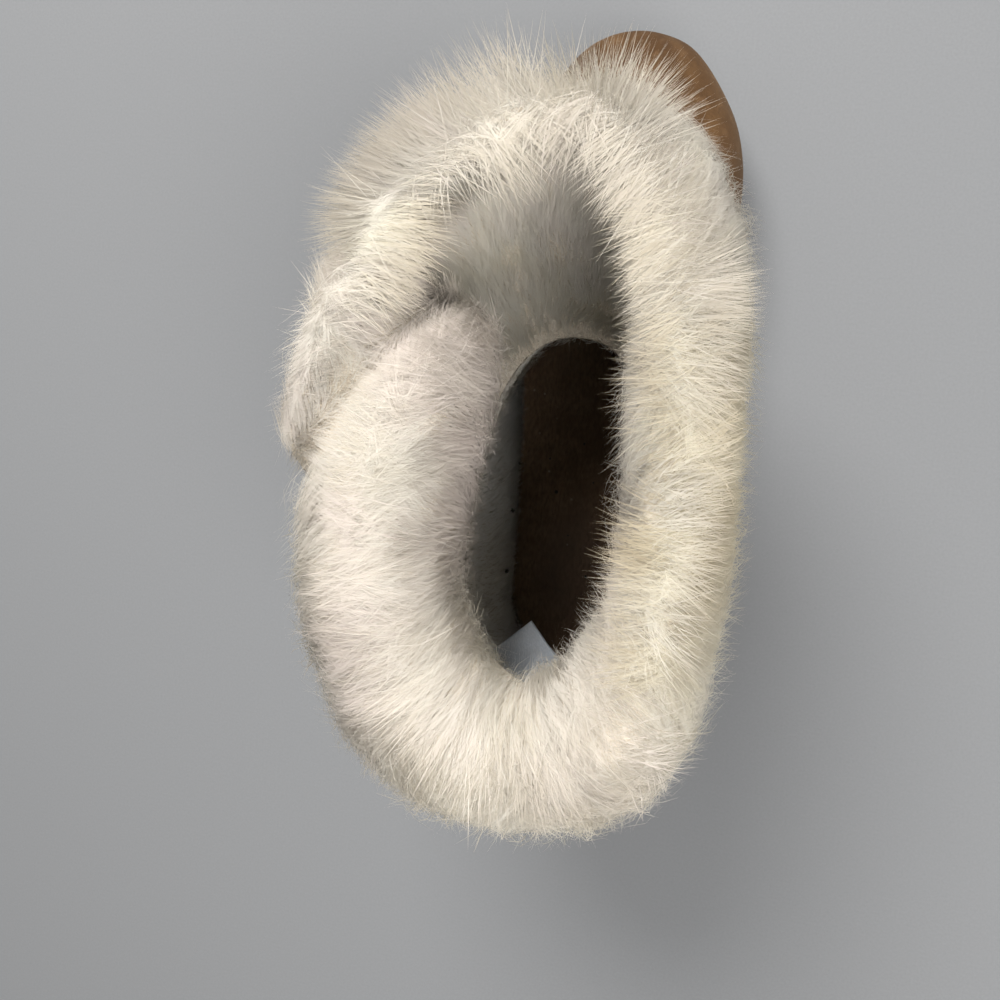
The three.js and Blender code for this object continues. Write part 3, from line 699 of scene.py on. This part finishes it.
# Under-fur: a soft lumpy body a little below the tips, so that gaps between tufts show more fur
underBody = {"round": 300, "across": 81, "depth": 5.5, "shallower": 0.45, "lumps": 1.2, "edge": 0.03,
             "hemRaised": 3.5, "hemSpan": 0.04,
             "dark": (0.76, 0.65, 0.49), "pale": (0.86, 0.79, 0.69), "strand": (0.68, 0.58, 0.45)}
shares, across = np.meshgrid(np.arange(underBody["round"]) / underBody["round"],
                             np.linspace(0, 1, underBody["across"]), indexing="ij")
body = furSurface(shares, across)
depth = underBody["depth"] * (1 - underBody["shallower"] * rise(across, 0.8, 0.2))
depth = depth + underBody["lumps"] * softNoise(body, 14, 31)
body = body - gridNormals(body) * (depth * np.clip((1 - across) / underBody["edge"], 0.1, 1))[..., None]
body[..., 2] += underBody["hemRaised"] * np.exp(-across / underBody["hemSpan"])
rimInner, rimOuter, hug, _ = hemRings(shares[:, :1])
hug = hug + np.array([0, 0, underBody["hemRaised"]])
body = np.concatenate([body, rimInner, rimOuter, hug], 1)
furBase = meshFrom("fur_base", body.reshape(-1, 3),
                   [gridFaces(underBody["round"], body.shape[1], closeRows=True, closeColumns=True)])
under = Finish("underFur")
place = under.coords()
mottle = under.noise(place, 55, 4)
strands = under.noise(under.node("Mapping", {}, {"Vector": place, "Scale": (1, 1, 0.35)}), 900, 3)
tone = under.mixed(under.level(mottle, 0.35, 0.65), underBody["dark"], underBody["pale"])
tone = under.mixed(under.level(strands, 0.3, 0.7), tone, underBody["strand"])
under.show(under.coat(tone, 0.95, 0.1, under.bump(strands, 0.8, 0.002)))
furBase.data.materials.append(under.material)
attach(furBase, "root")
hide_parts("fur_shaft")
print("fur grown")

# Upper: tan suede with a 3 mm wall, softly dented, with wear creases across the ball of the foot
suede = {
    "wall": 3.0, "around": 300, "levels": 84, "insideStep": 3, "unevenness": 0.35,
    # creases: y where it crosses the middle, how far its ends sweep back, width, depth, all in millimetres
    "creases": [(150, 9, 3.2, 0.9), (163, 12, 2.6, 0.7), (176, 10, 2.8, 0.5)],
    "deep": (0.064, 0.030, 0.010), "tan": (0.104, 0.051, 0.017), "brushed": (0.145, 0.077, 0.028),
    "darkerLow": (0.075, 0.044, 0.024), "pores": (0.060, 0.030, 0.012), "rubbed": (0.20, 0.115, 0.055),
    "seam": (0.05, 0.028, 0.014), "sheen": (0.75, 0.55, 0.38),
}


def acrossUpper(share, level, inward):
    # the lasted surface moved in along its normal, which is the cross product of the steps both ways
    step = 0.002
    alongRing = upperSurface(share + step, level) - upperSurface(share - step, level)
    above, below = np.minimum(level + step, 1), np.maximum(level - step, 0)
    upwards = upperSurface(share, above) - upperSurface(share, below)
    return upperSurface(share, level) - unit(np.cross(alongRing, upwards)) * inward


shares, levels = np.meshgrid(np.arange(suede["around"]) / suede["around"],
                             np.linspace(0, 1, suede["levels"]), indexing="ij")
skin = upperSurface(shares, levels)
skinNormals = gridNormals(skin)
dent = suede["unevenness"] * softNoise(skin, 42, 51)
for middle, sweep, width, depth in suede["creases"]:
    # a trough along y = middle - sweep (x / 45)^2 with a low ridge beside it, fading towards the sole
    off = (skin[..., 1] - middle + sweep * (skin[..., 0] / 45) ** 2) / width
    dent -= depth * rise(skin[..., 2], 27, 12) * (bell(off, 0, 1) - 0.5 * bell(off, 1.9, 1))
skin = skin + skinNormals * (dent * rise(levels, 0, 0.05) * fall(levels, 1, 0.1))[..., None]
inside = acrossUpper(shares, levels, suede["wall"])
hem = (skin[:, :1] * 0.7 + inside[:, :1] * 0.3) - np.array([0, 0, 0.25])
section = np.concatenate([skin, inside[:, ::-suede["insideStep"]], hem], 1)
suedeUpper = meshFrom("suede_upper", section.reshape(-1, 3),
                      [gridFaces(suede["around"], section.shape[1], closeRows=True, closeColumns=True)])
napped = Finish("tanNubuck")
place = napped.coords()
brushed = napped.noise(napped.coords((1, 0.45, 0.8)), 95, 5)
pores = napped.noise(place, 650, 4)
tone = napped.mixed(napped.level(napped.noise(place, 26, 4), 0.36, 0.64), suede["deep"], suede["tan"])
tone = napped.mixed(napped.level(brushed, 0.42, 0.7) * 0.6, tone, suede["brushed"])
# darker towards the sole: fully below 25.5 mm, fading out by 36 mm
towardsSole = napped.level(napped.along("Z") + napped.noise(place, 60, 3) * 0.008, 0.0255, 0.036, 1, 0)
tone = napped.mixed(towardsSole * 0.55, tone, suede["darkerLow"])
tone = napped.mixed(napped.level(pores, 0.38, 0.66) * 0.35, tone, suede["pores"])
rubbed = napped.level(napped.noise(place, 140, 5), 0.56, 0.68) * napped.level(napped.along("Y"), 0.16, 0.21)
tone = napped.mixed(rubbed * 0.45, tone, suede["rubbed"])
seamLine = napped.along("X").hump(0.0007) * napped.level(napped.along("Y"), -0.03, -0.02, 1, 0)
tone = napped.mixed(seamLine * 0.8, tone, suede["seam"])
nap = napped.noise(place, 1500, 3) * 0.6 + pores * 0.8 + brushed * 0.5 - seamLine * 1.6
sheen = {"Sheen Weight": 0.08, "Sheen Roughness": 0.45, "Sheen Tint": suede["sheen"]}
roughness = napped.level(brushed, 0.3, 0.7, 0.96, 0.82)
napped.show(napped.coat(tone, roughness, 0.25, napped.bump(nap, 0.55, 0.0006), sheen))
suedeUpper.data.materials.append(napped.material)
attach(suedeUpper, "root")
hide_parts("upper")

# Closing seam up the back of the heel: two rows of stitches, each a bent bead of thread
thread = {"pitch": 3.1, "length": 2.3, "radius": 0.32, "beside": 2.3, "low": 0.06, "high": 0.8,
          "along": 7, "around": 6, "proud": 0.12, "dark": (0.19, 0.11, 0.05), "pale": (0.34, 0.21, 0.11)}
heelLevels = np.linspace(thread["low"], thread["high"], 400)
heelLine = upperSurface(np.zeros(400), heelLevels)
run = np.concatenate([[0], np.cumsum(np.linalg.norm(np.diff(heelLine, axis=0), axis=1))])
starts = np.repeat(np.arange(0, run[-1] - thread["length"], thread["pitch"]), 2)
rowSide = np.tile([-1, 1], len(starts) // 2)
# stitch points: t along it, turn round it; radius and height follow the square root of a half circle
t, turn = np.meshgrid(np.linspace(0, 1, thread["along"]),
                      np.arange(thread["around"]) / thread["around"] * 2 * np.pi, indexing="ij")
swell = np.sqrt(np.clip(1 - (2 * t - 1) ** 2, 0.0004, 1))
at = starts[:, None, None] + t * thread["length"]
stitch = np.stack([np.interp(at, run, column) for column in heelLine.T], -1)
outward = acrossUpper(np.zeros(400), heelLevels, -1.0) - heelLine
outward = np.stack([np.interp(at, run, column) for column in outward.T], -1)
stitch[..., 0] += rowSide[:, None, None] * thread["beside"] + thread["radius"] * np.cos(turn) * swell
stitch += outward * (thread["proud"] + swell * thread["radius"] * (0.5 + np.sin(turn)))[..., None]
pointsEach = thread["along"] * thread["around"]
firstPoints = np.arange(len(starts)) * pointsEach
stitchFaces = firstPoints[:, None, None] + gridFaces(thread["along"], thread["around"], closeColumns=True)
caps = firstPoints[:, None] + np.arange(thread["around"])
heelStitches = meshFrom("heel_stitches", stitch.reshape(-1, 3),
                        [stitchFaces.reshape(-1, 4), caps, (caps + pointsEach - thread["around"])[:, ::-1]])
waxed = Finish("tanThread")
twist = waxed.noise(waxed.coords((1, 1, 0.5)), 2600, 2)
waxed.show(waxed.coat(waxed.ramp(twist, (0.3, thread["dark"]), (0.7, thread["pale"])), 0.6, 0.5,
                      waxed.bump(twist, 0.6, 0.0002)))
heelStitches.data.materials.append(waxed.material)
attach(heelStitches, "root")
print("suede upper made")

# Lining: cut plush on a soft backing inside the upper, open at the ankle; levels of the upper, millimetres
plush = {
    "top": 0.985, "bottom": 0.16, "backing": 2.2, "height": 6.5, "hairs": 60000, "width": 0.24,
    "tucked": 1.5, "around": 220, "levels": 40, "backStep": 3, "lumps": 0.5,
    # hairs thin out towards the toe: from here on, over this distance, down to this share
    "toeFrom": 110, "toeSpan": 60, "toeLeast": 0.03,
    # lean down and round, hair by hair; tips drawn to tufts
    "down": (0.8, 0.3), "round": (0.8, 0.35), "tuft": 3.0, "drawn": 0.4, "lengthSpread": (0.75, 1.15),
    "roots": [(0.0, (0.62, 0.56, 0.45)), (1.0, (0.74, 0.71, 0.64))],
    "tips": [(0.0, (0.84, 0.81, 0.72)), (0.5, (0.90, 0.88, 0.83)), (1.0, (0.92, 0.91, 0.89))],
    "through": (0.88, 0.86, 0.81),
    "curlDark": (0.52, 0.47, 0.38), "curlPale": (0.80, 0.77, 0.70), "curlWorn": (0.45, 0.38, 0.28),
}
liningFinish = furFinish("plushLining", plush["roots"], plush["tips"], plush["through"])


def liningFace(share, across):
    # inner face of the upper moved in by its wall and the pile; across runs from the ankle to the insole
    level = plush["top"] + (plush["bottom"] - plush["top"]) * across
    return acrossUpper(share, level, suede["wall"] + plush["height"] - plush["tucked"])


shares, levels = np.meshgrid(np.arange(plush["around"]) / plush["around"],
                             np.linspace(plush["top"], plush["bottom"], plush["levels"]), indexing="ij")
near = acrossUpper(shares, levels, suede["wall"] + 0.15)
far = acrossUpper(shares, levels, suede["wall"] + plush["backing"])
far[..., 2] += plush["lumps"] * softNoise(near, 9, 61)
shell = np.concatenate([near[:, ::-plush["backStep"]], far], 1)
liningBase = meshFrom("lining_base", shell.reshape(-1, 3),
                      [gridFaces(plush["around"], shell.shape[1], closeRows=True, closeColumns=True)])
fleece = Finish("fleeceBacking")
place = fleece.coords()
curls = fleece.noise(place, 420, 4)
tone = fleece.mixed(fleece.level(curls, 0.35, 0.65), plush["curlDark"], plush["curlPale"])
tone = fleece.mixed(fleece.level(fleece.noise(place, 40, 3), 0.45, 0.7) * 0.5, tone, plush["curlWorn"])
fleece.show(fleece.coat(tone, 0.95, 0.1, fleece.bump(curls, 0.9, 0.0015)))
liningBase.data.materials.append(fleece.material)
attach(liningBase, "root")
inner = PileFace(liningFace, np.arange(260) / 260, np.linspace(0, 1, 40))
rng = np.random.default_rng(205)
count = plush["hairs"]
reach = np.clip(1 - (inner.grid[..., 1] - plush["toeFrom"]) / plush["toeSpan"], plush["toeLeast"], 1)
at = inner.sample(count, reach, rng)
down = plush["down"][0] + rng.normal(0, plush["down"][1], count)
sideways = plush["round"][0] * softNoise(at["point"], 20, 63) + rng.normal(0, plush["round"][1], count)
lean = unit(at["over"] * down[:, None] + at["around"] * sideways[:, None])
ds, dw, tuft = tuftPull(at["s"], at["w"], plush["tuft"], 71)
pull = (at["around"] * ds[:, None] + at["over"] * dw[:, None]) * plush["drawn"]
long = plush["height"] * rng.uniform(*plush["lengthSpread"], count)
tip = at["point"] + at["normal"] * (rng.normal(-0.6, 0.6, count) + 0.8 * (tuft - 0.5))[:, None] + pull
base = at["point"] - at["normal"] * (long * 0.7)[:, None] - lean * (long * 0.75)[:, None]
middle = (base + tip) / 2 + at["normal"] * (long * 0.1)[:, None]
tint = np.clip(0.6 + 0.3 * softNoise(at["point"], 45, 65) + rng.normal(0, 0.12, count), 0.01, 0.99)
width = plush["width"] * rng.uniform(0.7, 1.3, count)
liningPile = hairRibbons("lining_pile", base, middle, tip, at["normal"], width, tint,
                         rng.normal(0, 0.6, count))
liningPile.data.materials.append(liningFinish)
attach(liningPile, "root")
print("lining grown")


# Insole: brown footbed cloth, worn dark and smooth under the heel and the ball of the foot, with dust.
# Prints: y of the middle in metres, how much x and y count, size from and to, how ragged
footbedCloth = {"heel": (0.005, 2.6, 1.1, 0.022, 0.046, 0.012),
                "ball": (0.145, 1.3, 1.6, 0.028, 0.055, 0.014),
                "dark": (0.115, 0.068, 0.038), "pale": (0.205, 0.130, 0.075), "patch": (0.090, 0.052, 0.030),
                "worn": (0.065, 0.040, 0.025), "dust": (0.36, 0.31, 0.24)}


def finishNode(nodeName, material):
    mesh = bpy.data.objects[nodeName].data
    mesh.materials.clear()
    mesh.materials.append(material)


footbed = Finish("wornFootbed")
place = footbed.coords()
x, y = footbed.along("X"), footbed.along("Y")
prints = []
for raggedScale, key in ((90, "heel"), (80, "ball")):
    # distance from the print's middle: the root of the weighted squares, made ragged by noise
    middle, acrossWeight, alongWeight, start, end, ragged = footbedCloth[key]
    distance = (x * x * acrossWeight + (y - middle) ** 2.0 * alongWeight).root()
    distance = distance + footbed.noise(place, raggedScale, 3) * ragged
    prints.append(footbed.level(distance, start, end, 1, 0))
worn = (prints[0] + prints[1]).clamped()
fibre = footbed.noise(footbed.coords((1, 0.4, 1)), 900, 4)
tone = footbed.mixed(footbed.level(fibre, 0.32, 0.68), footbedCloth["dark"], footbedCloth["pale"])
patches = footbed.level(footbed.noise(place, 55, 4), 0.4, 0.65)
tone = footbed.mixed(patches * 0.6, tone, footbedCloth["patch"])
tone = footbed.mixed(worn * 0.65, tone, footbedCloth["worn"])
dust = footbed.node("TexVoronoi", {}, {"Vector": place, "Scale": 210, "Randomness": 1.0})
dust = footbed.level(dust, 0.06, 0.13, 1, 0) * footbed.level(footbed.noise(place, 35, 2), 0.5, 0.6)
tone = footbed.mixed(dust * 0.8, tone, footbedCloth["dust"])
footbed.show(footbed.coat(tone, footbed.level(worn, 0, 1, 0.95, 0.72), 0.3,
                          footbed.bump(fibre - worn * 0.3, 0.6, 0.0006)))
finishNode("insole", footbed.material)

# Outsole: soft brown moulded rubber, stippled sides with scuffs, wave tread underneath
sole = {"dark": (0.105, 0.062, 0.036), "pale": (0.150, 0.092, 0.054), "scuffed": (0.25, 0.18, 0.12),
        "darkerLow": (0.09, 0.075, 0.06), "partingHeight": 0.0115, "partingWidth": 0.0005}
rubber = Finish("mouldedRubber")
place = rubber.coords()
height = rubber.along("Z")
stipple = rubber.noise(place, 1800, 2)
scuff = rubber.level(rubber.noise(rubber.coords((1, 1, 3)), 85, 5), 0.55, 0.68)
tone = rubber.mixed(rubber.level(rubber.noise(place, 30, 4), 0.35, 0.65), sole["dark"], sole["pale"])
tone = rubber.mixed(scuff * 0.5, tone, sole["scuffed"])
ground = rubber.level(height + rubber.noise(place, 120, 3) * 0.004, 0.003, 0.009, 1, 0)
tone = rubber.mixed(ground * 0.6, tone, sole["darkerLow"])
wave = rubber.node("TexWave", {"wave_type": "BANDS", "bands_direction": "Y"}, {
    "Vector": place, "Scale": 42, "Distortion": 2.2, "Detail": 0, "Detail Scale": 1.0}, output=1)
tread = rubber.level(wave, 0.35, 0.6) * rubber.level(height, 0.0012, 0.0022, 1, 0)
parting = (height - sole["partingHeight"]).hump(sole["partingWidth"])
relief = stipple * 0.35 + tread * 4.0 + parting * 1.2 + scuff * 0.3
rubber.show(rubber.coat(tone, rubber.level(scuff, 0, 1, 0.52, 0.8), 0.45, rubber.bump(relief, 0.6, 0.0006)))
finishNode("outsole", rubber.material)
print("insole and outsole finished")

# Care label: a blank satin tab sewn in at the heel, bowed over the pile, with woven ribs; millimetres
tab = {"width": 18.0, "thickness": 0.4, "across": (0.7, -0.714, 0), "ripple": 0.3, "dip": 1.3,
       "grid": (26, 22),
       "line": [(0, -0.2, -11.9, 89.6), (0.34, -4.8, -16.4, 93.5), (0.68, -10.0, -21.6, 94.5),
                (1, -15.0, -26.4, 93.1)],
       "rib": (0.60, 0.65, 0.72), "pale": (0.73, 0.77, 0.83), "rubbed": (0.56, 0.58, 0.60)}


def tabFace(t, p, lift):
    # t along the bowed middle line, p across from -1 to 1; the free end's corners dip, the cloth ripples
    middle = easedTable(tab["line"], t)
    point = middle + p[..., None] * np.array(tab["across"]) * tab["width"] / 2
    point[..., 2] += lift + tab["ripple"] * np.sin(3.1 * p + 4 * t) * (1 - t)
    point[..., 2] -= tab["dip"] * (p**2) * (1 - t) ** 3
    return point


rows, columns = tab["grid"]
t, p = np.meshgrid(np.linspace(0, 1, rows), np.linspace(-1, 1, columns), indexing="ij")
loop = np.concatenate([tabFace(t, p, 0.0), tabFace(t, p, -tab["thickness"])[:, ::-1]], 1)
ring = np.arange(2 * columns)
satinTab = meshFrom("satin_label", loop.reshape(-1, 3),
                    [gridFaces(rows, 2 * columns, closeColumns=True), ring[None, ::-1],
                     ((rows - 1) * 2 * columns + ring)[None]])
satin = Finish("labelSatin")
place = satin.coords()
ribWay = {"Vector": place, "Rotation": (0, 0, np.radians(45)), "Scale": (1, 0.15, 1)}
ribs = satin.noise(satin.node("Mapping", {}, ribWay), 2600, 2)
rub = satin.noise(place, 240, 3)
tone = satin.mixed(satin.level(ribs, 0.35, 0.65), tab["rib"], tab["pale"])
tone = satin.mixed(satin.level(rub, 0.45, 0.7) * 0.4, tone, tab["rubbed"])
satin.show(satin.coat(tone, satin.level(rub, 0.3, 0.7, 0.34, 0.5), 0.5, satin.bump(ribs, 0.5, 0.0003)))
satinTab.data.materials.append(satin.material)
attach(satinTab, "root")
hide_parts("care_label")

# Grit carried in on the foot: dark crumbs on the footbed and caught in the lining's outer side.
# On the footbed x, y and radius in millimetres; on the lining share round, share across and radius
grit = {"onFootbed": [(-13.3, 37.9, 0.9), (3.9, 3.7, 0.8), (-6, 20, 0.5), (9, 28, 0.6), (-18, 52, 0.5),
                      (14, 12, 0.45), (-4, 60, 0.55), (2, 44, 0.4)],
        "onLining": [(0.815, 0.45, 1.0), (0.862, 0.38, 0.95), (0.80, 0.62, 0.5), (0.84, 0.70, 0.6),
                     (0.90, 0.55, 0.5)],
        "raised": 0.4, "uneven": (0.7, 1.25), "dark": (0.012, 0.009, 0.007), "pale": (0.04, 0.03, 0.02)}
footbedTree = BVHTree.FromObject(bpy.data.objects["insole"], bpy.context.evaluated_depsgraph_get())
aboveFootbed, downwards = 0.08, Vector((0, 0, -1))
spots = []
for x, y, radius in grit["onFootbed"]:
    hit = footbedTree.ray_cast(Vector((x * mm, y * mm, aboveFootbed)), downwards)[0]
    spots.append((x, y, hit.z / mm + radius * grit["raised"], radius))
wall = np.array(grit["onLining"])
spots += [(*point, radius) for point, radius in zip(liningFace(wall[:, 0], wall[:, 1]), wall[:, 2])]
spots = np.array(spots)
rng = np.random.default_rng(77)
# each crumb is a twelve-cornered lump: the corners of an icosahedron pushed in and out at random
gold = (1 + 5**0.5) / 2
lump = unit(np.array([(-1, gold, 0), (1, gold, 0), (-1, -gold, 0), (1, -gold, 0),
                      (0, -1, gold), (0, 1, gold), (0, -1, -gold), (0, 1, -gold),
                      (gold, 0, -1), (gold, 0, 1), (-gold, 0, -1), (-gold, 0, 1)]))
lumpFaces = np.array([(0, 11, 5), (0, 5, 1), (0, 1, 7), (0, 7, 10), (0, 10, 11), (1, 5, 9), (5, 11, 4),
                      (11, 10, 2), (10, 7, 6), (7, 1, 8), (3, 9, 4), (3, 4, 2), (3, 2, 6), (3, 6, 8),
                      (3, 8, 9), (4, 9, 5), (2, 4, 11), (6, 2, 10), (8, 6, 7), (9, 8, 1)])
pushed = rng.uniform(*grit["uneven"], (len(spots), len(lump), 1))
crumbs = spots[:, None, :3] + lump * spots[:, None, 3:4] * pushed
crumbFaces = ((np.arange(len(spots)) * len(lump))[:, None, None] + lumpFaces).reshape(-1, 3)
crumbs = meshFrom("grit", crumbs.reshape(-1, 3), [crumbFaces], smooth=False)
soil = Finish("drySoil")
fleck = soil.noise(soil.coords(), 1500, 3)
soil.show(soil.coat(soil.ramp(fleck, (0.35, grit["dark"]), (0.7, grit["pale"])), 0.9, 0.5,
                    soil.bump(fleck, 0.6, 0.0003)))
crumbs.data.materials.append(soil.material)
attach(crumbs, "root")
print("label and grit made")

low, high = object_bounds()
